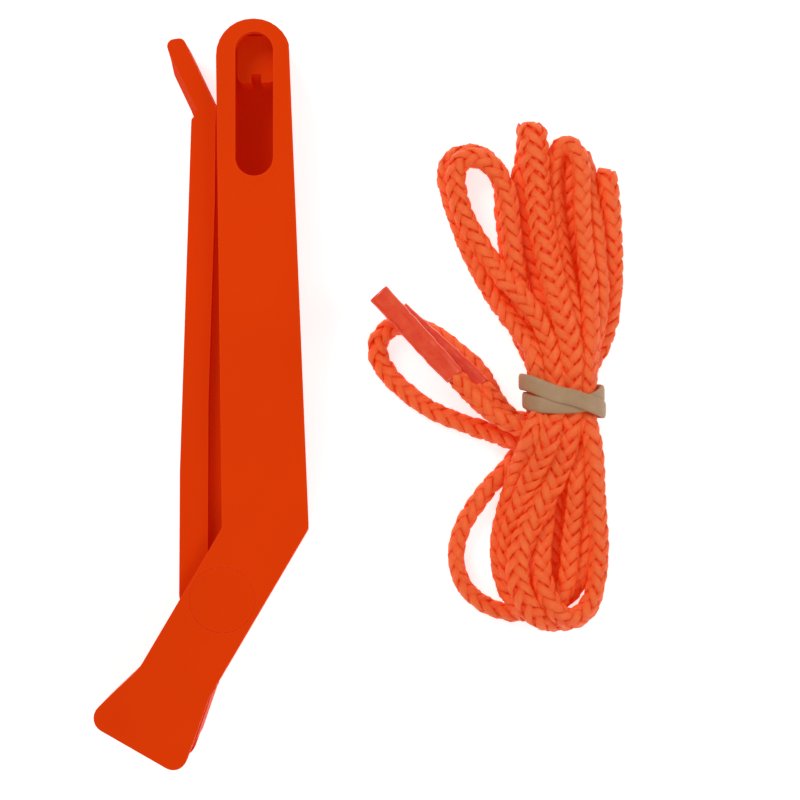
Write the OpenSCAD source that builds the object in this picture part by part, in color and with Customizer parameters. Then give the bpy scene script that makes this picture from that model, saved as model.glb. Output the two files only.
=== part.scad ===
// Cord tourniquet: a two-lever cord clamp, lying flat, with its hank of braided cord beside it.
// X runs across the clamp, Y along it towards the thumb tab, Z up from the table.

/* [Clamp] */
// Thickness of the clamp, from its rear face to its front face
tool_t = 18; // [16:0.5:20]
// Thickness of the front and the rear cheek of the outer lever
cheek_t = 2.4; // [2:0.1:3]
// Thickness of the spine that joins the two cheeks
spine_t = 2.4; // [2:0.1:3]
// Width of the outer lever at its round end
top_w = 18.5; // [17:0.5:20]
// Extra width of the outer lever at its elbow
taper_w = 3.2; // [2:0.1:4]
// How far the spine's outer side leans in from the front face to the rear face
draft = 1.25; // [0:0.05:1.4]
// Height of the round end above the middle of the clamp
top_y = 93.8; // [92:0.2:98]

/* [Neck and mouth] */
// Tilt of the neck from the line of the handles, in degrees
neck_tilt = 29.8; // [26:0.2:33]
// Width of the neck
neck_w = 19; // [18:0.5:20]
// Distance from the pivot to the edge of the flared mouth
mouth_y = 43.5; // [42:0.5:46]
// Width of the flared mouth
mouth_w = 28; // [26:0.5:31]
// Gap between the two jaws where they pinch the cord
pinch_gap = 2.7; // [2:0.1:3.4]

/* [Pivot] */
// Radius of the pivot pin
pin_r = 3; // [2.6:0.1:3.4]
// Running clearance between the pin and the hub, on the radius
pin_fit = 0.05; // [0.03:0.01:0.1]
// Radius of the pin's flush head
head_r = 8.3; // [7.5:0.1:8.6]
// Thickness of the pin's head and of the rear cap
head_t = 1.2; // [1:0.1:1.5]
// Radius of the inner lever's hub
hub_r = 6.5; // [5.5:0.1:6.6]

/* [Window] */
// Width of the long window near the round end
window_w = 9.5; // [8:0.5:10]
// Length of the window
window_l = 36; // [30:1:38]
// Depth of the post's top below the front face
post_depth = 6; // [4:0.5:8]

/* [Inner lever] */
// Play between the inner lever and each cheek
side_play = 0.4; // [0.3:0.05:0.6]
// Thickness of the web behind the bar
web_t = 6; // [4:0.5:7]
// Lean of the thumb tab away from the outer lever, in degrees
tab_lean = 25.5; // [22:0.5:30]
// Length of the thumb tab
tab_l = 19.5; // [16:0.5:21]
// Width of the thumb tab where it leaves the bar
tab_w = 6.1; // [5:0.1:7]
// Width of the bevel on the thumb tab's outer edge
tab_bevel = 1.4; // [0.5:0.1:2]

/* [Cord and its fittings] */
// Diameter of the braided cord
cord_d = 4.5; // [4:0.1:4.8]
// Height of the hank above the table
hank_h = 12.8; // [11:0.2:14]
// Width of a flattened sleeve on a cord end
sleeve_w = 5.5; // [5:0.1:6]
// Thickness of a sleeve
sleeve_h = 3.7; // [3.4:0.1:4]
// Wall of a sleeve
sleeve_wall = 0.4; // [0.3:0.05:0.6]
// Width of the rubber band's two turns together
band_w = 9; // [7:0.5:10]
// Thickness of the rubber band
band_t = 1.3; // [1:0.1:1.6]

/* [Hidden] */
$fn = 64;
round_steps = 7;
cord_sides = 8;
pivot = [5.25, -51.6];
window_x = 13.25;
window_top = 90.5;
post_y = 79;
inside_t = tool_t - 2 * cheek_t;
lever_t = inside_t - 2 * side_play;
lever_z = cheek_t + side_play;
half_neck = neck_w / 2;
arm_clear = 23.4;
tab_root = [3.49, 72.04];
waist = [91.6, 0];
waist_w = 19;
waist_h = 12.6;
waist_z = band_t + 0.5;
waist_l = 12;
fit_gap = 0.03;
plastic = "orangered";

// ---------- helpers ----------

function unit(v) = v / norm(v);

// A point given from the pivot, x across the neck and y up it, in the clamp's own axes.
function at_neck(x, y) = [
    pivot.x + x * cos(neck_tilt) + y * sin(neck_tilt),
    pivot.y - x * sin(neck_tilt) + y * cos(neck_tilt),
];

function short_turn(a) = a > 180 ? a - 360 : a < -180 ? a + 360 : a;

// The arc of radius r that rounds the corner b between a and c.
function corner(a, b, c, r) =
    r == 0 ? [b] :
    let (
        ua = unit(a - b),
        uc = unit(c - b),
        half = acos(ua * uc) / 2,
        mid = b + unit(ua + uc) * r / sin(half),
        p = b + ua * r / tan(half) - mid,
        q = b + uc * r / tan(half) - mid,
        start = atan2(p.y, p.x),
        sweep = short_turn(atan2(q.y, q.x) - start)
    )
    [for (i = [0:round_steps]) mid + r * [cos(start + sweep * i / round_steps), sin(start + sweep * i / round_steps)]];

// An outline from corners [point, radius].
function rounded(corners) =
    let (n = len(corners))
    [for (i = [0:n - 1])
        each corner(corners[(i + n - 1) % n][0], corners[i][0], corners[(i + 1) % n][0], corners[i][1])];

module plate(corners, z, t) {
    translate([0, 0, z])
        linear_extrude(t)
            polygon(rounded(corners));
}

module disc(at, r, z, t) {
    translate([at.x, at.y, z])
        cylinder(r = r, h = t);
}

// A slot with round ends, along Y.
module obround(x, y_low, y_high, w) {
    for (y = [y_low + w / 2, y_high - w / 2])
        translate([x, y])
            circle(d = w);
    translate([x - w / 2, y_low + w / 2])
        square([w, y_high - y_low - w]);
}

// A flat-sided oval of the given size, centred.
module oval(w, h) {
    for (side = [-1, 1])
        translate([side * (w - h) / 2, 0])
            circle(d = h);
    square([w - h, h], center = true);
}

// ---------- outer lever ----------

left_x = window_x - top_w / 2 - 0.4;
right_x = left_x + top_w;
elbow = [right_x + taper_w + 1.65, -33.6];

outer_outline = [
    [[left_x, top_y], top_w / 2 - 0.1],
    [[right_x, top_y], top_w / 2 - 0.1],
    [elbow, 4],
    [at_neck(half_neck - 0.2, -22.5), 8],
    [at_neck(mouth_w / 2 - 1, -mouth_y), 3.5],
    [at_neck(1 - mouth_w / 2 - 2, -mouth_y), 3.75],
    [at_neck(-half_neck, -25), 10],
    [[left_x + 1.6, elbow.y], 3],
];

// The space between the cheeks: open to the left above the fixed jaw, and to the right below the spine.
channel = [
    [[-30, post_y - 0.3], 0],
    [[left_x + spine_t, post_y - 0.3], 0],
    [[left_x + spine_t, top_y - spine_t], 5],
    [[right_x - spine_t, top_y - spine_t], 5],
    [[elbow.x - spine_t, elbow.y + 0.7], 3],
    [at_neck(half_neck - spine_t, -21), 0],
    [at_neck(30, -21), 0],
    [at_neck(30, -60), 0],
    [at_neck(spine_t - mouth_w / 2 - 2.5, -mouth_y - 3), 0],
    [at_neck(spine_t - half_neck, -25), 10],
    [at_neck(spine_t - half_neck, -16), 0],
    [at_neck(-20, -16), 0],
    [[-30, -45], 0],
];

module post() {
    low = [
        [[window_x - window_w / 2 - 0.1, top_y - 3], 0],
        [[window_x + window_w / 2 + 0.1, top_y - 3], 0],
        [[window_x + window_w / 2 + 0.1, post_y], 1.8],
        [[window_x - window_w / 2 - 0.1, post_y], 1.8],
    ];
    difference() {
        plate(low, cheek_t - 0.1, tool_t - post_depth - cheek_t + 0.1);
        translate([window_x - 1.25, post_y - 1, cheek_t])
            cube([2.5, 3.2, tool_t]);
    }
}

// The wedge outside the leaning side of the spine, from the round end to the elbow.
module lean() {
    top = [right_x, top_y - top_w / 2];
    bottom = [elbow.x, elbow.y];
    run = top - bottom;
    translate([bottom.x, bottom.y, tool_t])
        rotate([0, 0, atan2(run.y, run.x) - 90])
            rotate([0, atan(draft / tool_t), 0])
                translate([0, -20, -2 * tool_t])
                    cube([6, norm(run) + 40, 3 * tool_t]);
}

module outer_lever() {
    color(plastic) {
        difference() {
            plate(outer_outline, 0, tool_t);
            plate(channel, cheek_t, inside_t);
            translate([0, 0, tool_t - cheek_t - 1])
                linear_extrude(cheek_t + 2)
                    obround(window_x, window_top - window_l, window_top, window_w);
            disc(pivot, pin_r + fit_gap, -1, tool_t + 2);
            disc(pivot, head_r + fit_gap, tool_t - head_t, head_t + 1);
            disc(pivot, head_r - 2 + fit_gap, -1, head_t + 1);
            lean();
        }
        intersection() {
            post();
            plate(outer_outline, 0, tool_t);
        }
    }
}

// ---------- inner lever ----------

// The bar that closes the outer lever's open side.
bar = [
    [[-2.8, 69.6], 1.2],
    [[3.3, 71], 0],
    [[3.1, 48.7], 0],
    [[1.5, -2], 0],
    [[1.3, -46], 0],
    [[-1, -55], 2],
    [[-5.9, -52.6], 3],
    [[-5.7, -19.5], 0],
];

web = [
    [[1, 71.6], 0],
    [[7.4, 71.6], 1],
    [[7.8, 54], 0],
    [[12.5, -10], 6],
    [[11.2, -48], 0],
    [[0, -52], 0],
];

nose = [
    [[4.2, 68], 0],
    [[7.4, 68], 0],
    [[8, 78.2], 1.5],
    [[4.8, 76.5], 1],
];

tab_dir = [-sin(tab_lean), cos(tab_lean)];
tab_side = [-cos(tab_lean), -sin(tab_lean)];
tab = [
    [tab_root, 0],
    [tab_root + tab_dir * tab_l, 1.6],
    [tab_root + tab_dir * (tab_l + 1.4) + tab_side * (tab_w - 1.75), 1.8],
    [tab_root + tab_dir * (tab_l - 3.4) + tab_side * (tab_w - 1), 4],
    [tab_root + tab_dir * (tab_l - 7.1) + tab_side * tab_w, 4],
    [tab_root + tab_dir * 0.8 + tab_side * tab_w, 0],
    [[-1.8, 68], 0],
    [[3.3, 68], 0],
];

// The wedge that bevels the tab's outer edge on the front face.
module tab_edge() {
    at = tab_root + tab_dir * 1.5 + tab_side * (tab_w - tab_bevel);
    translate([at.x, at.y, lever_z + lever_t])
        rotate([0, 0, tab_lean])
            rotate([90, 0, 0])
                mirror([0, 0, 1])
                    linear_extrude(tab_l - 2)
                        polygon([[0, 0], [-2 * tab_bevel, -2.4 * tab_bevel], [-2 * tab_bevel, 1], [0, 1]]);
}

arm = [
    [at_neck(-6, -2), 0],
    [at_neck(6.3, -2), 0],
    [at_neck(-0.6, -21), 0],
    [at_neck(-0.6, -26), 0],
    [at_neck(spine_t - half_neck + pinch_gap, -26), 0],
];

jaw = [
    [at_neck(spine_t - half_neck + pinch_gap, -20), 0],
    [at_neck(9.4, -20), 0],
    [at_neck(9.5, -22.5), 2],
    [at_neck(11.7, -34), 2],
    [at_neck(11.7, -41.3), 3],
    [at_neck(0.4, -41.3), 3.5],
    [at_neck(spine_t - half_neck + pinch_gap, -27.5), 6],
];

module inner_lever() {
    color(plastic)
        difference() {
            union() {
                plate(bar, lever_z, lever_t);
                plate(tab, lever_z, lever_t);
                plate(web, tool_t / 2 - web_t / 2, web_t);
                plate(nose, tool_t / 2 - 3.4, 6.8);
                disc(pivot, hub_r, lever_z, lever_t);
                plate(arm, lever_z, lever_t);
                difference() {
                    plate(jaw, lever_z, lever_t);
                    disc(pivot, arm_clear, 0, tool_t);
                }
            }
            disc(pivot, pin_r + pin_fit, 0, tool_t);
            tab_edge();
        }
}

// ---------- pivot ----------

module pivot_pin() {
    color("red")
        difference() {
            union() {
                disc(pivot, pin_r, head_t, tool_t - head_t);
                disc(pivot, head_r, tool_t - head_t + fit_gap, head_t - fit_gap);
                disc(pivot, pin_r - 1, 0.3, head_t);
            }
            disc(pivot, 1, -1, tool_t - head_t);
        }
}

module pin_cap() {
    color("red")
        difference() {
            disc(pivot, head_r - 2, 0, head_t - fit_gap);
            disc(pivot, pin_r - 1 + fit_gap, -1, head_t + 2);
        }
}

// ---------- cord ----------

upper_fan = [
    [[waist.x - waist_w / 2, waist_l / 2], 0],
    [[76.8, 24.8], 6],
    [[76.8, 51.6], 4],
    [[79.4, 70.2], 4],
    [[89.2, 70.2], 4],
    [[100.6, 63], 5],
    [[107.8, 56.8], 4],
    [[107.8, 28.9], 6],
    [[waist.x + waist_w / 2, waist_l / 2], 0],
];

lower_fan = [
    [[waist.x - waist_w / 2, -waist_l / 2], 0],
    [[79.9, -14.4], 5],
    [[74.2, -33], 8],
    [[75.3, -48.4], 8],
    [[86.1, -61.3], 8],
    [[98.5, -61.3], 8],
    [[104.7, -45.3], 8],
    [[103.7, -18.5], 8],
    [[waist.x + waist_w / 2, -waist_l / 2], 0],
];

// The cord's routes where it isn't bundled, as points on its centre line.
upper_loop_outer = [
    [83.8, 11, 10.2], [81, 15.7, 8], [77.4, 20.7, 6], [74.2, 25.5, 4.4], [70.7, 31.4, 3],
    [67.7, 37.5, 2.4], [65.2, 44, 2.3], [62.7, 51.6, 2.3], [61.7, 56.8, 2.3], [62.7, 60.7, 2.3],
    [66.7, 62.5, 2.3], [71.4, 61.7, 2.3], [75, 57.9, 2.3], [76.9, 53.2, 2.3], [77.5, 46.9, 2.3],
    [77.9, 38.6, 2.3],
];
upper_loop_inner = [
    [88.2, 11.2, 12], [86.8, 15.6, 11.5], [83.9, 21.1, 10], [80.3, 25.7, 8.2], [76.8, 29.6, 6.6],
    [74.1, 33.4, 5.8], [70.5, 38.3, 5.6], [66.9, 44.2, 6], [65, 49.5, 6.4], [64, 54.1, 6.6],
    [64.1, 57.7, 6.6], [65.6, 60.3, 6.6], [68.5, 61.1, 6.6], [72.2, 59.8, 6.6], [75.4, 56.2, 6.6],
    [77.3, 51.5, 6.6], [78.1, 44.3, 6.6],
];
lower_loop = [
    [81.2, -14, 2.8], [77.7, -19.4, 2.3], [73.4, -23.7, 2.3], [69.5, -28.7, 2.3], [66.2, -34.1, 2.3],
    [64.4, -40.3, 2.3], [64.7, -45.8, 2.3], [67.1, -50.9, 2.3], [71.3, -54.5, 2.3], [76, -56.4, 2.3],
    [81.8, -56.7, 2.3],
];
tail_loop = [
    [82.7, -13.4, 3.2], [76, -11, 2.4], [67.7, -8.1, 2.3], [58.9, -4.7, 2.3], [51.6, 0.3, 2.3],
    [45.8, 6.3, 2.3], [43.7, 12.1, 2.3], [46.4, 16.7, 2.3], [52.1, 17.8, 2.3], [58.3, 15.5, 2.3],
    [64.6, 11, 2.3], [70.3, 4.9, 2.3], [74, -1.2, 2.4], [77.5, -5.6, 2.6],
];
sleeve_front_ends = [[44.6, 25.2, 10.2], [64.9, 3.2, 9.8]];
sleeve_back_ends = [[49.8, 20.9, 6.5], [72.3, 0.5, 5.4]];
end_front = [[70.5, -2.4, 9.4], [76.6, -6.7, 8.8], [84.4, -9.2, 8.4]];
end_back = [[76.8, -4.7, 5.8], [82, -8.2, 6.2]];

function heading(route, i) = unit(route[min(i + 1, len(route) - 1)] - route[max(i - 1, 0)]);

function ring(at, dir, w, h) =
    let (side = unit(cross(dir, [0, 0, 1])), up = cross(side, dir))
    [for (k = [0:cord_sides - 1])
        let (a = (k + 0.5) * 360 / cord_sides)
        at + side * cos(a) * w / 2 + up * sin(a) * h / 2];

// Sweeps one closed tube along a route; its first rings, inside a sleeve, are flattened.
module swept_cord(route, flat_rings = 0) {
    n = len(route);
    flat_w = sleeve_w - 2 * sleeve_wall - 0.1;
    flat_h = sleeve_h - 2 * sleeve_wall - 0.1;
    points = [for (i = [0:n - 1])
        each ring(route[i], heading(route, i), i < flat_rings ? flat_w : cord_d, i < flat_rings ? flat_h : cord_d)];
    sides = [for (i = [0:n - 2], k = [0:cord_sides - 1])
        let (m = (k + 1) % cord_sides, a = i * cord_sides, b = a + cord_sides)
        each [[a + k, b + k, b + m], [a + k, b + m, a + m]]];
    first = [for (k = [0:cord_sides - 1]) k];
    last = [for (k = [cord_sides - 1:-1:0]) (n - 1) * cord_sides + k];
    polyhedron(points, concat(sides, [first], [last]));
}

module cord_upper_fan() {
    color("orangered")
        plate(upper_fan, 0.2, hank_h);
}

module cord_lower_fan() {
    color("orangered")
        plate(lower_fan, 0.2, hank_h);
}

module cord_waist() {
    color("orangered")
        translate([waist.x, waist_l / 2, waist_z + waist_h / 2])
            rotate([90, 0, 0])
                linear_extrude(waist_l)
                    oval(waist_w, waist_h);
}

module cord_upper_loop_outer() {
    color("orangered")
        swept_cord(upper_loop_outer);
}

module cord_upper_loop_inner() {
    color("orangered")
        swept_cord(upper_loop_inner);
}

module cord_lower_loop() {
    color("orangered")
        swept_cord(lower_loop);
}

module cord_tail_loop() {
    color("orangered")
        swept_cord(tail_loop);
}

module cord_end_front() {
    color("orangered")
        swept_cord(concat(sleeve_front_ends, end_front), 2);
}

module cord_end_back() {
    color("orangered")
        swept_cord(concat(sleeve_back_ends, end_back), 2);
}

// ---------- sleeves and band ----------

module sleeve(ends) {
    d = ends[1] - ends[0];
    level = norm([d.x, d.y]);
    translate(ends[0])
        rotate([0, -atan2(d.z, level), atan2(d.y, d.x)])
            rotate([0, 90, 0])
                rotate([0, 0, 90])
                    linear_extrude(norm(d) - 1)
                        difference() {
                            oval(sleeve_w, sleeve_h);
                            oval(sleeve_w - 2 * sleeve_wall, sleeve_h - 2 * sleeve_wall);
                        }
}

module sleeve_front() {
    color("red")
        sleeve(sleeve_front_ends);
}

module sleeve_back() {
    color("red")
        sleeve(sleeve_back_ends);
}

module rubber_band() {
    color("tan")
        translate([waist.x, band_w / 2, waist_z + waist_h / 2])
            rotate([90, 0, 0])
                linear_extrude(band_w)
                    difference() {
                        oval(waist_w + 2 * band_t + 0.4, waist_h + 2 * band_t + 0.4);
                        oval(waist_w + 0.4, waist_h + 0.4);
                    }
}

outer_lever();
inner_lever();
pivot_pin();
pin_cap();
cord_upper_fan();
cord_waist();
cord_lower_fan();
cord_upper_loop_outer();
cord_upper_loop_inner();
cord_lower_loop();
cord_tail_loop();
cord_end_front();
cord_end_back();
sleeve_front();
sleeve_back();
rubber_band();
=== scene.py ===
import math

import bpy
import numpy as np
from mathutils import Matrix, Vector


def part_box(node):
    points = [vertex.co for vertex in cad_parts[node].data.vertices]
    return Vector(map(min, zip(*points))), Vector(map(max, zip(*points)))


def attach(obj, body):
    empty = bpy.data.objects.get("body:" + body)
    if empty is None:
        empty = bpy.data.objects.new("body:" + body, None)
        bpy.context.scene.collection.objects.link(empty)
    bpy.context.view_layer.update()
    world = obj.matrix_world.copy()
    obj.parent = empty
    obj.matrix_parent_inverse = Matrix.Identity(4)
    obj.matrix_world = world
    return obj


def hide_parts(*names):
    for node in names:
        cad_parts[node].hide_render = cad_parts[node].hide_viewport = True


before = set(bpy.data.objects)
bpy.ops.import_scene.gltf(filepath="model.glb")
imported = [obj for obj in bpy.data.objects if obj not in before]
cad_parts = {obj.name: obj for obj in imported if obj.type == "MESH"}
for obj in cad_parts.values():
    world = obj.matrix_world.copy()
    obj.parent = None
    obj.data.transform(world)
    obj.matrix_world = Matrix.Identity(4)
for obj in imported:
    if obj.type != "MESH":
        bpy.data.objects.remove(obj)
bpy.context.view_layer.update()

# ---------- driving sizes, in metres ----------

CORD_D = 0.0045            # braided cord, across
STEP = 0.0012              # spacing of the points along the cord
BRAID_PITCH = 0.0156       # length in which a strand goes once round
STRANDS = 4                # strands of each hand
STRAND_W = 0.00236         # one braid strand, across
STRAND_T = 0.00105         # one braid strand, through
BRAID_R = 0.00166          # mean radius of the strands
BRAID_WAVE = 0.00032       # how far a strand rides in and out
WALL = 0.0004              # shrink sleeve
BAND_T = 0.0014            # rubber band, thickness
BAND_W = 0.0042            # rubber band, width of one turn
OVAL = 2.6                 # power of the rounded oval that the band and the passes in it follow
COLUMN_GAP = 0.0043        # between the passes through the band, side by side
LAYER_GAP = 0.0041         # between the passes through the band, one over another
SLEEVE_CUT = 0.0006        # spacing of the rings of a sleeve
VIEW_ACROSS = 0.2          # width of the picture at the clamp's front face
CAM_ABOVE = 0.38           # camera height over that face
VIEW_MIDDLE = (0.04975, -0.0016)
FLOOR_HALF = 1.6

rng = np.random.default_rng(7)


def rgb(r, g, b):
    """An sRGB colour, 0 to 255, as the linear values a shader takes."""
    def linear(c):
        c /= 255
        return c / 12.92 if c <= 0.04045 else ((c + 0.055) / 1.055) ** 2.4
    return (linear(r), linear(g), linear(b), 1)


# ---------- camera ----------

cam_data = bpy.data.cameras.new("camera")
cam_data.sensor_width = 36
cam_data.lens = cam_data.sensor_width / 2 / (VIEW_ACROSS / 2 / CAM_ABOVE)
cam_data.clip_start = 0.01
camera = bpy.data.objects.new("camera", cam_data)
bpy.context.collection.objects.link(camera)
camera.location = (*VIEW_MIDDLE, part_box("outer_lever")[1][2] + CAM_ABOVE)
bpy.context.scene.camera = camera


# ---------- the cord's route ----------

# Where the twelve passes go through the rubber band: four columns, three layers.
band_lo, band_hi = (np.array(c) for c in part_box("rubber_band"))
BAND_CLEAR = 0.0002        # left between the band's solid and the cord in it
WAIST_SHIFT = 0.0003       # the passes lie this far left of the middle of the band's solid
WAIST_TRIM = 0.0006        # and are this much narrower to each side
waist_at = (band_lo + band_hi) / 2 - (WAIST_SHIFT, 0, 0)
waist_half = (band_hi - band_lo) / 2 - (BAND_T + BAND_CLEAR) - (WAIST_TRIM, 0, 0)


def slot(layer, column):
    """The two points of one pass through the band, from its upper side to its lower."""
    reach = 0.003
    x = waist_at[0] + (column - 1.5) * COLUMN_GAP
    z = waist_at[2] + (layer - 1) * LAYER_GAP
    return [(x, reach, z), (x, -reach, z)]


# Loops over the band, each from its first slot up, round and back down to its second.
UPPER = {
    "a1": [(.0840, .0077, .0115), (.0838, .0110, .0102), (.0810, .0157, .0080), (.0774, .0207, .0060),
           (.0742, .0255, .0044), (.0707, .0314, .0030), (.0677, .0375, .0024), (.0652, .0440, .0023),
           (.0627, .0516, .0023), (.0617, .0568, .0023), (.0627, .0607, .0023), (.0667, .0625, .0023),
           (.0714, .0617, .0023), (.0750, .0579, .0023), (.0769, .0532, .0023), (.0775, .0469, .0023),
           (.0779, .0386, .0023), (.0787, .0292, .0024), (.0812, .0188, .0028), (.0841, .0094, .0036)],
    "a2": [(.0886, .0071, .0122), (.0882, .0112, .0120), (.0868, .0156, .0115), (.0839, .0211, .0100),
           (.0803, .0257, .0082), (.0768, .0296, .0066), (.0741, .0334, .0058), (.0705, .0383, .0056),
           (.0669, .0442, .0060), (.0650, .0495, .0064), (.0640, .0541, .0066), (.0641, .0577, .0066),
           (.0656, .0603, .0066), (.0685, .0611, .0066), (.0722, .0598, .0066), (.0754, .0562, .0066),
           (.0773, .0515, .0066), (.0781, .0443, .0066), (.0789, .0351, .0064), (.0810, .0238, .0060),
           (.0857, .0135, .0050), (.0889, .0073, .0042)],
    "b": [(.0938, .0066, .0124), (.0935, .0112, .0122), (.0923, .0168, .0118), (.0907, .0224, .0112),
          (.0889, .0296, .0106), (.0869, .0388, .0101), (.0855, .0488, .0098), (.0847, .0573, .0096),
          (.0841, .0638, .0091), (.0838, .0676, .0079), (.0836, .0694, .0058), (.0834, .0684, .0037),
          (.0828, .0642, .0026), (.0812, .0572, .0023), (.0804, .0505, .0023), (.0812, .0425, .0026),
          (.0840, .0330, .0038), (.0864, .0245, .0052), (.0866, .0150, .0068), (.0852, .0072, .0078)],
    "cd": [(.0972, .0066, .0122), (.0976, .0122, .0116), (.0982, .0204, .0106), (.0981, .0299, .0098),
           (.0972, .0395, .0092), (.0966, .0490, .0088), (.0966, .0565, .0082), (.0958, .0612, .0076),
           (.0942, .0640, .0068), (.0920, .0648, .0062), (.0902, .0622, .0058), (.0899, .0580, .0056),
           (.0901, .0510, .0055), (.0908, .0426, .0058), (.0922, .0332, .0062), (.0936, .0238, .0068),
           (.0943, .0144, .0076), (.0941, .0072, .0080)],
    "e": [(.0985, .0067, .0084), (.0992, .0113, .0088), (.1006, .0170, .0092), (.1015, .0253, .0092),
          (.1008, .0348, .0088), (.0997, .0443, .0086), (.0986, .0530, .0084), (.0978, .0588, .0074),
          (.0966, .0620, .0056), (.0951, .0610, .0036), (.0937, .0566, .0024), (.0933, .0480, .0021),
          (.0938, .0380, .0021), (.0938, .0271, .0023), (.0944, .0167, .0030), (.0942, .0084, .0038)],
    "f": [(.0990, .0063, .0042), (.1008, .0099, .0046), (.1034, .0161, .0050), (.1049, .0255, .0052),
          (.1050, .0350, .0053), (.1043, .0445, .0054), (.1036, .0512, .0054), (.1033, .0556, .0048),
          (.1031, .0575, .0036), (.1026, .0556, .0026), (.1013, .0500, .0023), (.1002, .0416, .0023),
          (.0982, .0334, .0024), (.0953, .0229, .0032), (.0922, .0135, .0050), (.0901, .0072, .0070)],
}

# Loops under the band, in the same way.
LOWER = {
    "l2": [(.0841, -.0066, .0118), (.0833, -.0116, .0108), (.0817, -.0160, .0096), (.0799, -.0205, .0082),
           (.0785, -.0251, .0068), (.0773, -.0296, .0056), (.0763, -.0341, .0048), (.0756, -.0386, .0042),
           (.0756, -.0432, .0040), (.0765, -.0476, .0042), (.0788, -.0521, .0048), (.0828, -.0556, .0050),
           (.0872, -.0562, .0040), (.0911, -.0530, .0028), (.0948, -.0486, .0028), (.0978, -.0440, .0034),
           (.0990, -.0351, .0046), (.0982, -.0257, .0060), (.0965, -.0154, .0074), (.0948, -.0071, .0080)],
    "l3": [(.0866, -.0066, .0122), (.0862, -.0116, .0118), (.0850, -.0160, .0110), (.0833, -.0204, .0100),
           (.0816, -.0249, .0090), (.0801, -.0294, .0084), (.0788, -.0339, .0080), (.0778, -.0383, .0078),
           (.0776, -.0432, .0078), (.0788, -.0483, .0080), (.0818, -.0528, .0082), (.0860, -.0552, .0080),
           (.0896, -.0546, .0072), (.0922, -.0508, .0068), (.0934, -.0452, .0068), (.0938, -.0390, .0072),
           (.0947, -.0320, .0080), (.0956, -.0230, .0088), (.0962, -.0132, .0090), (.0971, -.0061, .0084)],
    "l4": [(.0926, -.0066, .0124), (.0918, -.0111, .0122), (.0911, -.0159, .0118), (.0899, -.0203, .0114),
           (.0878, -.0248, .0112), (.0852, -.0293, .0110), (.0828, -.0337, .0110), (.0810, -.0381, .0110),
           (.0800, -.0426, .0110), (.0799, -.0470, .0110), (.0811, -.0515, .0106), (.0836, -.0552, .0088),
           (.0874, -.0570, .0060), (.0912, -.0583, .0036), (.0953, -.0586, .0026), (.0994, -.0548, .0024),
           (.1003, -.0482, .0024), (.1009, -.0414, .0026), (.1003, -.0320, .0032), (.0984, -.0232, .0050),
           (.0950, -.0159, .0072), (.0905, -.0114, .0082)],
    "l5": [(.0974, -.0066, .0120), (.0981, -.0116, .0114), (.0991, -.0204, .0106), (.0999, -.0293, .0098),
           (.1006, -.0381, .0090), (.1006, -.0440, .0084), (.1002, -.0488, .0078), (.0985, -.0541, .0072),
           (.0948, -.0577, .0072), (.0912, -.0576, .0082), (.0883, -.0545, .0098), (.0866, -.0500, .0104),
           (.0858, -.0450, .0098), (.0860, -.0400, .0090), (.0870, -.0340, .0080), (.0880, -.0277, .0072),
           (.0885, -.0185, .0072), (.0872, -.0102, .0076), (.0854, -.0056, .0080)],
    "l6": [(.0896, -.0072, .0038), (.0900, -.0155, .0030), (.0898, -.0250, .0024), (.0892, -.0340, .0021),
           (.0889, -.0400, .0021), (.0892, -.0460, .0021), (.0907, -.0502, .0021), (.0925, -.0470, .0021),
           (.0932, -.0400, .0021), (.0934, -.0330, .0021), (.0950, -.0235, .0024), (.0974, -.0140, .0030),
           (.0988, -.0070, .0038)],
    "l1": [(.0838, -.0084, .0036), (.0812, -.0140, .0028), (.0777, -.0194, .0023), (.0734, -.0237, .0023),
           (.0695, -.0287, .0023), (.0662, -.0341, .0023), (.0644, -.0403, .0023), (.0647, -.0458, .0023),
           (.0671, -.0509, .0023), (.0713, -.0545, .0023), (.0760, -.0564, .0023), (.0818, -.0567, .0023),
           (.0836, -.0528, .0023), (.0845, -.0472, .0023), (.0846, -.0410, .0023), (.0852, -.0340, .0023),
           (.0860, -.0262, .0024), (.0864, -.0196, .0028), (.0856, -.0150, .0032)],
}

# The loop that lies out to the left, under the two sleeves, and the two ends.
TAIL = [(.0827, -.0134, .0032), (.0760, -.0110, .0024), (.0677, -.0081, .0023), (.0589, -.0047, .0023),
        (.0516, .0003, .0023), (.0458, .0063, .0023), (.0437, .0121, .0023), (.0464, .0167, .0023),
        (.0521, .0178, .0023), (.0583, .0155, .0023), (.0646, .0110, .0023), (.0703, .0049, .0023),
        (.0740, -.0012, .0024), (.0775, -.0056, .0026), (.0817, -.0087, .0030), (.0869, -.0091, .0034),
        (.0910, -.0072, .0037)]
END_FRONT = [(.0446, .0252, .0102), (.0649, .0032, .0098), (.0705, -.0024, .0094), (.0766, -.0067, .0088),
             (.0844, -.0092, .0084)]
END_BACK = [(.0498, .0209, .0065), (.0723, .0005, .0054), (.0768, -.0047, .0058), (.0820, -.0082, .0062),
            (.0861, -.0092, .0066), (.0891, -.0077, .0072)]

T, M, B = 2, 1, 0          # top, middle and bottom layer of the passes


def back(points):
    return points[::-1]


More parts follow.
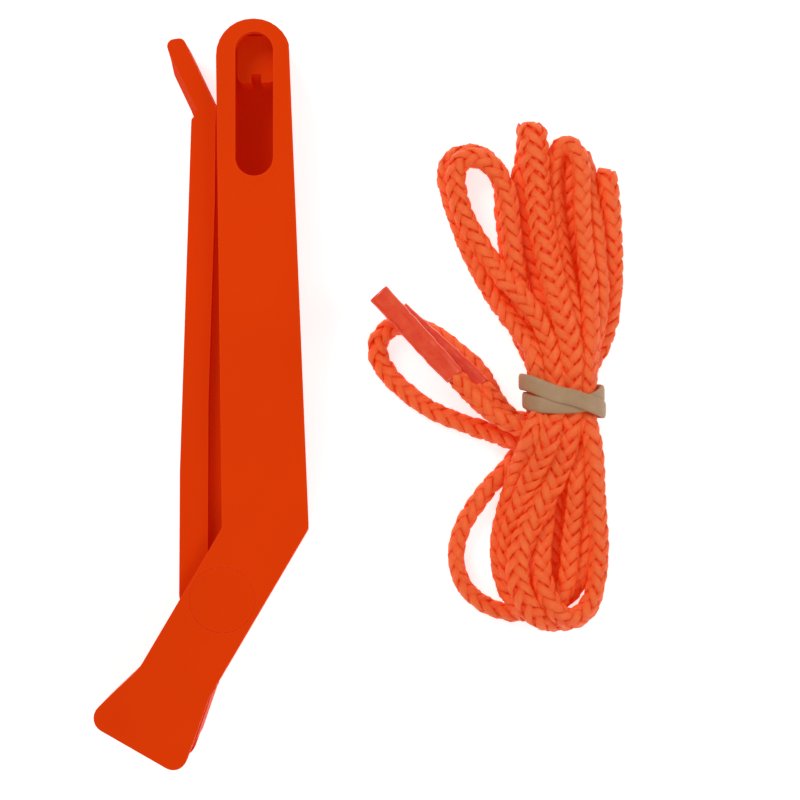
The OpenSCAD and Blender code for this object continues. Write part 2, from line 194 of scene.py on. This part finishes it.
# The route from end to end, a stretch at a time, each with how wide the braid lies there.
stretches = [
    (END_FRONT, 1.05), (back(LOWER["l4"])[:9], 1.05), (back(LOWER["l4"])[9:], 1.42), (back(slot(T, 2)), 1.25),
    (UPPER["b"][:8], 1.5), (UPPER["b"][8:12], 1.75), (UPPER["b"][12:], 1.15), (slot(M, 0), 1.2),
    (back(LOWER["l5"])[:11], 1.15), (back(LOWER["l5"])[11:], 1.02), (back(slot(T, 3)), 1.1),
    (UPPER["cd"][:8], 0.98), (UPPER["cd"][8:], 1.1), (slot(M, 2), 1.2),
    (back(LOWER["l2"]), 1.12), (back(slot(T, 0)), 1.25), (UPPER["a1"], 1.08),
    (slot(B, 0), 1.2), (LOWER["l1"], 1.02), (TAIL, 1.08), (back(slot(B, 2)), 1.2),
    (back(UPPER["e"])[:8], 1.35), (back(UPPER["e"])[8:], 0.88), (slot(M, 3), 1.1),
    (back(LOWER["l3"])[:7], 1.1), (back(LOWER["l3"])[7:], 1.3), (back(slot(T, 1)), 1.25),
    (UPPER["a2"], 1.12), (slot(B, 1), 1.2), (LOWER["l6"], 1.3), (back(slot(B, 3)), 1.2),
    (UPPER["f"], 1.15), (slot(M, 1), 1.2), (back(END_BACK), 1.05),
]
# The width rides along as a hundredth, so that it is of the same order as the places.
route = [(*point, width * 0.01) for points, width in stretches for point in points]


def smooth_line(points, step):
    """A centripetal Catmull-Rom curve through the points, cut into even steps. A fourth value rides along."""
    p = np.array(points, float)
    p = np.vstack([2 * p[0] - p[1], p, 2 * p[-1] - p[-2]])
    out = []
    for i in range(1, len(p) - 2):
        a, b, c, d = p[i - 1:i + 3]
        t0 = 0
        t1 = t0 + np.linalg.norm((b - a)[:3]) ** 0.5
        t2 = t1 + np.linalg.norm((c - b)[:3]) ** 0.5
        t3 = t2 + np.linalg.norm((d - c)[:3]) ** 0.5
        t = np.linspace(t1, t2, 24, endpoint=False)[:, None]
        a1 = (t1 - t) / (t1 - t0) * a + (t - t0) / (t1 - t0) * b
        a2 = (t2 - t) / (t2 - t1) * b + (t - t1) / (t2 - t1) * c
        a3 = (t3 - t) / (t3 - t2) * c + (t - t2) / (t3 - t2) * d
        b1 = (t2 - t) / (t2 - t0) * a1 + (t - t0) / (t2 - t0) * a2
        b2 = (t3 - t) / (t3 - t1) * a2 + (t - t1) / (t3 - t1) * a3
        out.append((t2 - t) / (t2 - t1) * b1 + (t - t1) / (t2 - t1) * b2)
    line = np.vstack(out + [p[-2:-1]])
    return even(line, step)


def even(line, step):
    """The same line cut into equal steps."""
    along = np.concatenate([[0], np.cumsum(np.linalg.norm(np.diff(line[:, :3], axis=0), axis=1))])
    n = int(round(along[-1] / step)) + 1
    s = np.linspace(0, along[-1], n)
    return np.column_stack([np.interp(s, along, line[:, k]) for k in range(line.shape[1])])


def blur(v, times):
    """Averages a row of vectors with its neighbours, ends kept."""
    for _ in range(times):
        v = v.copy()
        v[1:-1] = 0.5 * v[1:-1] + 0.25 * (v[:-2] + v[2:])
    return v


NEAR = CORD_D * 1.6        # points of the cord closer than this are tested for contact
SPACED = 0.95              # how far apart two stretches are pushed, in widths of the braid
SPACED_IN_BAND = 0.90      # the same where the band squeezes them
PUSH = 0.3                 # share of an overlap taken back in one round
SIDEWAYS = 0.4             # of which this much across the table, and the whole in height
SINK = 0.000008            # how far the cord drops in one round
STIFFEN = 0.15             # how strongly the bends are evened out
HOLD_ROUTE = 0.985         # keeps the cord near its planned route across the table
LOWEST = 0.0026            # lowest centre line of the cord over the table
SLEEVED = 0.027            # length at each end that is held in its sleeve
SOFT = 6                   # points over which the hold fades
BAND_HALF = 0.0055         # the band holds the cord this far to both sides of its middle
SQUEEZED = 0.009           # and squeezes the stretches together this far
BAND_PRESS = 0.5           # share of the way back into the oval that it presses them in one round
CROWDED = 0.3              # how much each contact slows a point that has several


def loose_part(count):
    """0 where the cord is held in its sleeves, 1 where it is free, one value for each point."""
    loose = np.ones(count)
    hold = int(SLEEVED / STEP)
    loose[:hold] = loose[-hold:] = 0
    loose = blur(loose[:, None], SOFT)
    loose[:hold - SOFT] = loose[SOFT - hold:] = 0
    return loose


def near_pairs(p):
    """Pairs of points that lie near each other, but not along the same bend."""
    gap = np.linalg.norm(p[:, None, :] - p[None, :, :], axis=2)
    i, j = np.nonzero(gap < NEAR)
    keep = j - i > int(2.0 * CORD_D / STEP)
    return i[keep], j[keep]


def pushed_apart(p, i, j, wide):
    """How far each point moves in one round because another stretch is in its place."""
    w = ((wide[i] + wide[j]) / 2)[:, None]
    flat = 2 * BRAID_R * w + STRAND_T
    tall = 2 * BRAID_R / w + STRAND_T
    d = (p[i] - p[j]) / np.hstack([flat, flat, tall])
    dist = np.linalg.norm(d, axis=1) + 1e-9
    inside = (np.abs(p[i, 1]) < SQUEEZED) & (p[i, 0] > band_lo[0])
    want = np.where(inside, SPACED_IN_BAND, SPACED)
    push = np.clip(want - dist, 0, None) / dist * PUSH
    d *= np.hstack([SIDEWAYS * flat, SIDEWAYS * flat, tall])
    move = np.zeros_like(p)
    count = np.ones(len(p))
    np.add.at(move, i, d * push[:, None])
    np.add.at(move, j, -d * push[:, None])
    hit = push > 0
    np.add.at(count, i[hit], CROWDED)
    np.add.at(count, j[hit], CROWDED)
    return move / count[:, None]


def held_by_band(p):
    """How far the band presses each point back into its oval in one round, across and up."""
    held = (np.abs(p[:, 1]) < BAND_HALF) & (p[:, 0] > band_lo[0] - 0.001)
    q = (p[:, [0, 2]] - waist_at[[0, 2]]) / (waist_half[[0, 2]] - CORD_D * 0.46)
    r = (np.abs(q) ** OVAL).sum(axis=1) ** (1 / OVAL)
    back_in = np.where(held & (r > 1), 1 / np.maximum(r, 1) - 1, 0)[:, None]
    return (p[:, [0, 2]] - waist_at[[0, 2]]) * back_in * BAND_PRESS


def settle(line, wide, rounds):
    """Moves the cord so that it rests on the table and on itself and stretches overlap only a little."""
    shift = np.zeros_like(line)
    loose = loose_part(len(line))
    for k in range(rounds):
        p = line + shift
        if k % 8 == 0:
            i, j = near_pairs(p)
        move = pushed_apart(p, i, j, wide)
        move[:, 2] -= SINK
        move[:, [0, 2]] += held_by_band(p)
        shift += blur(move, 4)
        shift = (1 - STIFFEN) * shift + STIFFEN * blur(shift, 3)
        shift[:, :2] *= HOLD_ROUTE
        shift *= loose
        shift[:, 2] = np.maximum(shift[:, 2], LOWEST - line[:, 2])
    return line + shift


planned = smooth_line(route, STEP)
breadth = blur(planned[:, 3:], 20)[:, 0] * 100
settled = settle(planned[:, :3], breadth, 260)
settled = even(np.column_stack([blur(settled, 2), breadth]), STEP)
centre, breadth = settled[:, :3], settled[:, 3]


# ---------- mesh helpers ----------

def mesh_object(name, verts, faces, material, uv=None):
    mesh = bpy.data.meshes.new(name)
    mesh.from_pydata([tuple(map(float, v)) for v in verts], [], [tuple(map(int, f)) for f in faces])
    mesh.update()
    if uv is not None:
        layer = mesh.uv_layers.new(name="along")
        loops = np.zeros(len(mesh.loops), int)
        mesh.loops.foreach_get("vertex_index", loops)
        layer.data.foreach_set("uv", np.asarray(uv, float)[loops].ravel())
    mesh.polygons.foreach_set("use_smooth", np.full(len(mesh.polygons), True))
    mesh.materials.append(material)
    obj = bpy.data.objects.new(name, mesh)
    bpy.context.collection.objects.link(obj)
    return obj


def unit(v):
    return v / np.maximum(np.linalg.norm(v, axis=-1, keepdims=True), 1e-12)


def frames(line):
    """Tangent and two normals at each point, turned as little as possible from point to point."""
    tangent = unit(np.gradient(line, axis=0))
    normal = np.zeros_like(line)
    normal[0] = unit(np.cross(tangent[0], (0, 0, 1)))
    for k in range(1, len(line)):
        v = normal[k - 1] - tangent[k] * np.dot(normal[k - 1], tangent[k])
        normal[k] = unit(v)
    return tangent, normal, np.cross(tangent, normal)


def tube(rings, closed=False):
    """Faces over rings of equal size, given as their number and the vertices in each; open ends get caps."""
    n, m = rings
    faces = []
    for k in range(n if closed else n - 1):
        a, b = k * m, ((k + 1) % n) * m
        for s in range(m):
            t = (s + 1) % m
            faces.append((a + s, a + t, b + t, b + s))
    if not closed:
        faces.append(tuple(range(m))[::-1])
        faces.append(tuple((n - 1) * m + s for s in range(m)))
    return faces


# ---------- materials ----------

class Nodes:
    """A short way to write a node material."""

    def __init__(self, name):
        self.mat = bpy.data.materials.new(name)
        self.mat.use_nodes = True
        self.tree = self.mat.node_tree
        self.shader = self.tree.nodes["Principled BSDF"]

    def add(self, kind, **sockets):
        node = self.tree.nodes.new(kind)
        for key, value in sockets.items():
            if hasattr(node, key):
                setattr(node, key, value)
            else:
                node.inputs[key.replace("_", " ")].default_value = value
        return node

    def link(self, a, b):
        self.tree.links.new(a, b)

    def set(self, **sockets):
        for key, value in sockets.items():
            self.shader.inputs[key.replace("_", " ")].default_value = value


def mix(n, factor, a, b):
    node = n.add("ShaderNodeMix", data_type="RGBA")
    for socket, value in ((node.inputs[0], factor), (node.inputs[6], a), (node.inputs[7], b)):
        if isinstance(value, bpy.types.NodeSocket):
            n.link(value, socket)
        else:
            socket.default_value = value
    return node.outputs[2]


def ramp(n, value, stops):
    node = n.add("ShaderNodeValToRGB")
    n.link(value, node.inputs[0])
    marks = node.color_ramp.elements
    while len(marks) < len(stops):
        marks.new(0.5)
    for mark, (at, colour) in zip(marks, stops):
        mark.position = at
        mark.color = colour if isinstance(colour, tuple) else (colour, colour, colour, 1)
    return node.outputs[0]


def object_noise(n, scale, detail, rough=0.5):
    place = n.add("ShaderNodeTexCoord")
    noise = n.add("ShaderNodeTexNoise", Scale=scale, Detail=detail, Roughness=rough)
    n.link(place.outputs["Object"], noise.inputs["Vector"])
    return noise.outputs["Fac"]


def along_noise(n, stretch, detail, rough=0.5):
    """Noise laid out by the piece's own map: round it and along it."""
    uv = n.add("ShaderNodeUVMap", uv_map="along")
    mapping = n.add("ShaderNodeMapping")
    mapping.inputs["Scale"].default_value = (*stretch, 1)
    n.link(uv.outputs[0], mapping.inputs[0])
    noise = n.add("ShaderNodeTexNoise", Scale=1.0, Detail=detail, Roughness=rough)
    n.link(mapping.outputs[0], noise.inputs["Vector"])
    return noise.outputs["Fac"]


def bump(n, height, strength, distance, after=None):
    node = n.add("ShaderNodeBump", Strength=strength, Distance=distance)
    n.link(height, node.inputs["Height"])
    if after:
        n.link(after, node.inputs["Normal"])
    return node.outputs[0]


def plastic(name, colour, rough=0.52):
    """Moulded plastic with a spark-eroded finish, faint flow shading, edges painted paler as a highlight and
    a faint painted red glow.
    """
    n = Nodes(name)
    large = object_noise(n, 28, 2)
    darker = tuple(c * 0.93 for c in colour[:3]) + (1,)
    base = mix(n, ramp(n, large, [(0.3, 0.0), (0.7, 1.0)]), darker, colour)
    # The shaded normal leans away from the rounded one only near an edge; there the colour is painted paler,
    # a painted highlight where the rounded edges catch the light.
    here = n.add("ShaderNodeNewGeometry")
    rounded = n.add("ShaderNodeBevel", Radius=0.0007, samples=6)
    lean = n.add("ShaderNodeVectorMath", operation="DOT_PRODUCT")
    n.link(here.outputs["Normal"], lean.inputs[0])
    n.link(rounded.outputs[0], lean.inputs[1])
    edge_highlight_mask = ramp(n, lean.outputs["Value"], [(0.86, 1.0), (0.995, 0.0)])
    # Painted highlight: the edge colour is a paler copy of the plastic.
    edge_highlight_colour = tuple(min(1, c * 1.15 + 0.012) for c in colour[:3]) + (1,)
    edge_highlight_amount = n.add("ShaderNodeMath", operation="MULTIPLY")
    n.link(edge_highlight_mask, edge_highlight_amount.inputs[0])
    edge_highlight_amount.inputs[1].default_value = 0.45
    base = mix(n, edge_highlight_amount.outputs[0], base, edge_highlight_colour)
    n.link(base, n.shader.inputs["Base Color"])
    grain = object_noise(n, 2600, 2, 0.6)
    coarse = object_noise(n, 900, 2, 0.5)
    n.link(ramp(n, grain, [(0.3, rough - 0.07), (0.7, rough + 0.09)]), n.shader.inputs["Roughness"])
    n.link(bump(n, grain, 0.22, 0.00006, bump(n, coarse, 0.12, 0.0001)), n.shader.inputs["Normal"])
    # The red emission is a painted glow, standing in for light bounced about inside the orange plastic and
    # its hollows.
    n.set(IOR=1.49, Specular_IOR_Level=0.14, Specular_Tint=(1.0, 0.42, 0.16, 1),
          Emission_Color=(1.0, 0.02, 0.0, 1), Emission_Strength=0.10)
    return n.mat


def cord_material():
    """Polypropylene braid: fine filaments along each strand, with painted shade low in the braid, a painted
    highlight on the strands' tops and a faint painted red glow.
    """
    n = Nodes("cord_braid")
    lines = along_noise(n, (160, 9), 2.0, 0.6)
    wide = object_noise(n, 120, 2)
    # Painted shade and highlight: deep red where the braid lies low, pale orange on the strands' tops.
    height = n.add("ShaderNodeAttribute", attribute_name="height")
    painted_height_shade = ramp(n, height.outputs["Fac"], [(0.15, (0.84, 0.020, 0.001, 1)), (0.5, (0.91, 0.095, 0.012, 1)),
                                           (0.95, (0.97, 0.215, 0.050, 1))])
    colour = mix(n, ramp(n, wide, [(0.3, 0.0), (0.7, 0.3)]), painted_height_shade, (0.96, 0.15, 0.03, 1))
    colour = mix(n, ramp(n, lines, [(0.35, 0.6), (0.6, 0.0)]), colour, (0.90, 0.06, 0.006, 1))
    n.link(colour, n.shader.inputs["Base Color"])
    n.link(ramp(n, lines, [(0.3, 0.5), (0.7, 0.36)]), n.shader.inputs["Roughness"])
    n.link(bump(n, lines, 0.6, 0.0002), n.shader.inputs["Normal"])
    # The red emission is a painted glow, standing in for light bounced between the strands.
    n.set(IOR=1.5, Specular_IOR_Level=0.3, Emission_Color=(1.0, 0.05, 0.001, 1), Emission_Strength=0.135)
    return n.mat


def sleeve_material(name, colour, deep):
    """Red shrink sleeve: satin and opaque, with paler flecks laid on by a fine noise, and a faint painted red
    glow.
    """
    n = Nodes(name)
    streak = object_noise(n, 380, 3, 0.55)
    along = along_noise(n, (9, 1.6), 3.0)
    base = mix(n, ramp(n, along, [(0.35, 0.0), (0.7, 1.0)]), deep, colour)
    base = mix(n, ramp(n, streak, [(0.45, 0.0), (0.75, 0.35)]), base, rgb(236, 110, 66))
    n.link(base, n.shader.inputs["Base Color"])
    n.link(ramp(n, along, [(0.3, 0.24), (0.7, 0.4)]), n.shader.inputs["Roughness"])
    n.link(bump(n, along, 0.3, 0.0003), n.shader.inputs["Normal"])
    # The red emission is a painted glow, standing in for light bounced inside the sleeve.
    n.set(IOR=1.5, Coat_Weight=0.3, Coat_Roughness=0.22, Emission_Color=(1.0, 0.05, 0.008, 1),
          Emission_Strength=0.12)
    return n.mat


def rubber_material():
    """Tan rubber, cloudy in colour, with a fine matte grain."""
    n = Nodes("band_rubber")
    cloud = object_noise(n, 160, 4, 0.6)
    fine = object_noise(n, 1500, 2, 0.6)
    base = mix(n, ramp(n, cloud, [(0.3, 0.0), (0.7, 1.0)]), (0.40, 0.235, 0.12, 1), (0.47, 0.30, 0.165, 1))
    n.link(base, n.shader.inputs["Base Color"])
    n.link(ramp(n, fine, [(0.3, 0.5), (0.7, 0.68)]), n.shader.inputs["Roughness"])
    n.link(bump(n, fine, 0.2, 0.00008, bump(n, cloud, 0.2, 0.0002)), n.shader.inputs["Normal"])
    return n.mat


# ---------- the cord ----------

STRAND_SIDES = 7
CORE_SIDES = 8
CORE_SHARE = 0.95          # the core's radius, as a share of the strands' mean radius
SLEEVE_L = 0.030           # length at each end over which a sleeve shrinks the braid
FADE = 0.004               # and the length over which that begins
SHRUNK = 0.32              # by this share


def lengths(line):
    """How far along the line each point is."""
    return np.concatenate([[0], np.cumsum(np.linalg.norm(np.diff(line, axis=0), axis=1))])


def sideways(tangent):
    """The level direction across the cord at each point, without sudden turns."""
    side = unit(np.cross(tangent, (0, 0, 1)) + 1e-6)
    for k in range(1, len(side)):
        if np.dot(side[k], side[k - 1]) < 0:
            side[k] = -side[k]
    side = blur(side, 12)
    return unit(side - tangent * (side * tangent).sum(axis=1, keepdims=True))


def drift(along, spacing):
    """A slow random wander along the cord, with a knot at each spacing."""
    knots = int(along[-1] / spacing) + 2
    return np.interp(along, np.arange(knots) * spacing, rng.normal(0, 1, knots))


def braid(line):
    """Eight strands, four each way round, each passing over two and under two, over a plain core."""
    tangent, normal, binormal = frames(line)
    along = lengths(line)
    side = sideways(tangent)
    lift = np.cross(side, tangent)
    flat = breadth + 0.03 * np.sin(along / 0.031) + 0.02 * np.sin(along / 0.0117 + 1)
    verts, faces, uv, height = [], [], [], []
    from_end = np.minimum(along, along[-1] - along)
    tight = (1 - SHRUNK * np.clip((SLEEVE_L - from_end) / FADE, 0, 1))[:, None]

    def squash(offset):
        """Makes the section wider than tall, and smaller where a sleeve is on it."""
        offset = offset * tight
        a = (offset * side).sum(axis=1, keepdims=True)
        b = (offset * lift).sum(axis=1, keepdims=True)
        return offset + side * a * (flat[:, None] - 1) + lift * b * (1 / flat[:, None] - 1)

    def add(ring, marks, heights):
        """Adds one swept tube: its rings, the map of each vertex and how high each lies in the braid."""
        first = len(verts)
        verts.extend(ring.reshape(-1, 3))
        uv.extend(marks)
        height.extend(heights)
        faces.extend(tuple(first + f for f in face) for face in tube(ring.shape[:2]))

    crossing = 2 * STRANDS * along / BRAID_PITCH
    slow = 0.8 * np.sin(along / 0.043) + 0.5 * np.sin(along / 0.0171)
    loose = 1 + 0.25 * np.sin(along / 0.0093) * np.sin(along / 0.037 + 2)
    turns = [math.pi / 2 + 2 * math.pi * s / STRAND_SIDES for s in range(STRAND_SIDES)]
    rise = np.array([math.sin(a) for a in turns])
    u = np.repeat(np.arange(STRAND_SIDES)[None, :] / STRAND_SIDES, len(line), axis=0)
    for hand in (1, -1):
        for i in range(STRANDS):
            over_at = (0.5 + 2 * (i % 2)) if hand == 1 else (1.5 - 2 * (i % 2))
            wave = np.cos(2 * math.pi * (crossing - over_at) / 4)
            radius = BRAID_R + BRAID_WAVE * wave * loose + 0.00007 * drift(along, 0.005)
            angle = (i * 2 * math.pi / STRANDS + hand * 2 * math.pi * along / BRAID_PITCH + slow
                     + 0.11 * drift(along, 0.006))
            spread = 1 + 0.09 * drift(along, 0.007)
            out = normal * np.cos(angle)[:, None] + binormal * np.sin(angle)[:, None]
            path = line + squash(out * radius[:, None])
            way = unit(np.gradient(path, axis=0))
            across = unit(np.cross(way, out))
            away = np.cross(across, way)
            half = (STRAND_W / 2 * (0.96 + 0.12 * wave) * spread)[:, None] * (0.3 + 0.7 * tight)
            ring = []
            for a in turns:
                thick = math.sin(a) * STRAND_T / 2
                ring.append(path + across * (math.cos(a) * half) + away * thick * tight)
            v = np.repeat(along[:, None] * 100 + i * 3.7 + hand, STRAND_SIDES, axis=1)
            # A vertex's height rises with how far its strand rides over the others and how far up round the
            # strand it lies; it drives the painted shade and highlight of the cord's colour.
            add(np.stack(ring, axis=1), np.stack([u, v], axis=2).reshape(-1, 2),
                (0.5 + 0.32 * wave[:, None] + 0.18 * rise[None, :]).ravel())
    core = []
    for s in range(CORE_SIDES):
        a = 2 * math.pi * s / CORE_SIDES
        core.append(line + squash((normal * math.cos(a) + binormal * math.sin(a)) * BRAID_R * CORE_SHARE))
    points = len(line) * CORE_SIDES
    # The core's height is 0, so it takes the darkest red: painted shade in the gaps between the strands.
    add(np.stack(core, axis=1), np.zeros((points, 2)), np.zeros(points))
    return verts, faces, uv, height


verts, faces, uv, height = braid(centre)
cord = mesh_object("cord", verts, faces, cord_material(), uv)
# The heights drive the cord's painted shade and highlight.
cord.data.attributes.new("height", "FLOAT", "POINT").data.foreach_set("value", np.array(height, np.float32))


# ---------- shrink sleeves ----------

def sleeve(name, line, length, material):
    """A thin shell round the end of the line, open at both ends, that narrows where the cord leaves it."""
    width, height = 0.0056, 0.0042
    n = int(length / SLEEVE_CUT) + 1
    pts = even(line, SLEEVE_CUT)
    lead = unit(pts[0] - pts[4])
    pts = np.vstack([pts[0] + lead * SLEEVE_CUT, pts])[:n]
    tangent = unit(np.gradient(blur(pts, 12), axis=0))
    side = unit(np.cross(tangent, (0, 0, 1)))
    lift = np.cross(side, tangent)
    along = np.linspace(0, 1, n)
    m = 28
    swell = 1 + 0.02 * np.sin(along * 34) + 0.015 * np.sin(along * 51 + 1)
    swell *= 1 - 0.12 * np.clip((along - 0.8) / 0.2, 0, 1) ** 1.5
    verts, uv = [], []
    # Out along the outside and back along the inside.
    layers = [(1.0, range(n)), (1 - 2 * WALL / height, range(n - 1, -1, -1))]
    for shrink, order in layers:
        for k in order:
            for s in range(m):
                a = 2 * math.pi * s / m
                x = math.copysign(abs(math.cos(a)) ** 0.75, math.cos(a)) * width / 2
                z = math.copysign(abs(math.sin(a)) ** 0.85, math.sin(a)) * height / 2
                x -= math.copysign((1 - shrink) * height / 2, x)
                z *= shrink
                verts.append(pts[k] + side[k] * x * swell[k] + lift[k] * z * swell[k])
                uv.append((s / m, along[k] * length * 100))
    return mesh_object(name, verts, tube((2 * n, m), closed=True), material, uv)


sleeve_front = sleeve("front_sleeve", centre, 0.0293,
                      sleeve_material("sleeve_red", rgb(230, 76, 34), rgb(218, 58, 26)))
# The back sleeve takes a darker copy of the same red: painted shade, as it lies lower and partly under the
# front one.
sleeve_back = sleeve("back_sleeve", centre[::-1], 0.0290,
                     sleeve_material("sleeve_red_painted_shade", rgb(222, 66, 30), rgb(206, 48, 22)))


# ---------- rubber band ----------

def rubber_band():
    """One closed strip that goes twice round the waist; the first turn crosses over the second."""
    # At every eighth of a turn, how far the strip lies along the cord and out from it.
    angles = np.radians(np.arange(0, 720, 45))
    y_at = np.array([-44, -33, -6, 24, 33, 26, 6, 4, 4, -20, -31, -27, -15, -17, -24, -38]) * 1e-4
    out_at = np.array([12, 13, 8, 4, 14, 3, 0, 6, 10, 0, 0, 0, 0, 0, 0, 6]) * 1e-4
    n = 220
    t = np.linspace(0, 4 * math.pi, n, endpoint=False)

    def periodic(values):
        """The values at all n points, smoothed, with no start or end."""
        v = np.tile(values, 3)
        x = np.concatenate([angles - 4 * math.pi, angles, angles + 4 * math.pi])
        fine = np.interp(np.linspace(-4 * math.pi, 8 * math.pi, 3 * n, endpoint=False), x, v)
        for _ in range(30):
            fine = 0.5 * fine + 0.25 * (np.roll(fine, 1) + np.roll(fine, -1))
        return fine[n:2 * n]

    y, out = periodic(y_at), periodic(out_at)
    half = waist_half[[0, 2]] + BAND_T / 2
    c, s = np.cos(t), np.sin(t)
    power = 2 / OVAL
    x = np.sign(c) * np.abs(c) ** power * half[0]
    z = np.sign(s) * np.abs(s) ** power * half[1]
    away = unit(np.column_stack([x / half[0] ** 2, z * 0, z / half[1] ** 2]))
    middle = np.column_stack([waist_at[0] + x, y, waist_at[2] + z]) + away * (out * 0.8)[:, None]
    run = unit(np.roll(middle, -1, axis=0) - np.roll(middle, 1, axis=0))
    wide = unit(np.cross(away, run))
    thick = np.cross(run, wide)
    m = 16
    verts, uv = [], []
    for k in range(n):
        for j in range(m):
            a = 2 * math.pi * (j + 0.5) / m
            u = math.copysign(abs(math.cos(a)) ** 0.45, math.cos(a)) * BAND_W / 2
            v = math.copysign(abs(math.sin(a)) ** 0.7, math.sin(a)) * BAND_T / 2
            verts.append(middle[k] + wide[k] * u + thick[k] * v)
            uv.append((j / m, k / n * 12))
    return mesh_object("band", verts, tube((n, m), closed=True), rubber_material(), uv)


band = rubber_band()


# ---------- the clamp ----------

orange = (0.745, 0.047, 0.0012, 1)
pin_orange = (0.735, 0.046, 0.0012, 1)
finishes = {
    "outer_lever": plastic("lever_plastic_outer", orange),
    "inner_lever": plastic("lever_plastic_inner", (0.735, 0.043, 0.0010, 1)),
    "pivot_pin": plastic("pin_plastic", pin_orange, 0.48),
    "pin_cap": plastic("cap_plastic", pin_orange, 0.48),
}
for node, material in finishes.items():
    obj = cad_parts[node]
    for k in range(len(obj.material_slots)):
        obj.material_slots[k].material = material
    weld = obj.modifiers.new("weld", "WELD")
    weld.merge_threshold = 1e-6
    flats = obj.modifiers.new("whole_flats", "DECIMATE")
    flats.decimate_type = "DISSOLVE"
    flats.angle_limit = math.radians(0.5)
    bevel = obj.modifiers.new("rounded_edges", "BEVEL")
    bevel.width = 0.0006 if node in ("outer_lever", "inner_lever") else 0.0002
    bevel.segments = 3
    bevel.limit_method = "ANGLE"
    bevel.angle_limit = math.radians(35)


# ---------- floor, light ----------

def floor_material():
    n = Nodes("floor_white")
    soft = object_noise(n, 6, 2)
    n.link(mix(n, soft, (0.66, 0.66, 0.66, 1), (0.68, 0.68, 0.68, 1)), n.shader.inputs["Base Color"])
    n.set(Roughness=0.9, Specular_IOR_Level=0.1, Emission_Color=(1, 1, 1, 1), Emission_Strength=0.7)
    return n.mat


corners = [(x * FLOOR_HALF, y * FLOOR_HALF, 0) for x, y in ((-1, -1), (1, -1), (1, 1), (-1, 1))]
floor = mesh_object("floor", corners, [(0, 1, 2, 3)], floor_material())


def area_light(name, at, power):
    """A round soft light that shines at the middle of the object."""
    aim = Vector((0.04, 0, 0))
    data = bpy.data.lights.new(name, "AREA")
    data.shape = "DISK"
    data.size = 0.5
    data.energy = power
    light = bpy.data.objects.new(name, data)
    bpy.context.collection.objects.link(light)
    light.location = at
    light.rotation_euler = (aim - Vector(at)).to_track_quat("-Z", "Y").to_euler()


area_light("key", (-0.42, 0.62, 0.62), 4.1)
area_light("fill", (0.78, 0.1, 0.5), 2.1)
area_light("front", (0.0, -0.8, 0.5), 2.0)

world = bpy.data.worlds.new("studio")
bpy.context.scene.world = world
world.use_nodes = True
world.node_tree.nodes["Background"].inputs[0].default_value = (1, 1, 1, 1)
world.node_tree.nodes["Background"].inputs[1].default_value = 0.34
bpy.context.scene.view_settings.view_transform = "Standard"


# ---------- what each piece is ----------

for piece in (cord, sleeve_front, sleeve_back, band):
    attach(piece, "hank")
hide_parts(*[f"cord_{part}" for part in (
    "upper_fan", "waist", "lower_fan", "upper_loop_outer", "upper_loop_inner", "lower_loop", "tail_loop",
    "end_front", "end_back")])
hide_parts("sleeve_front")
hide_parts("sleeve_back")
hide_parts("rubber_band")
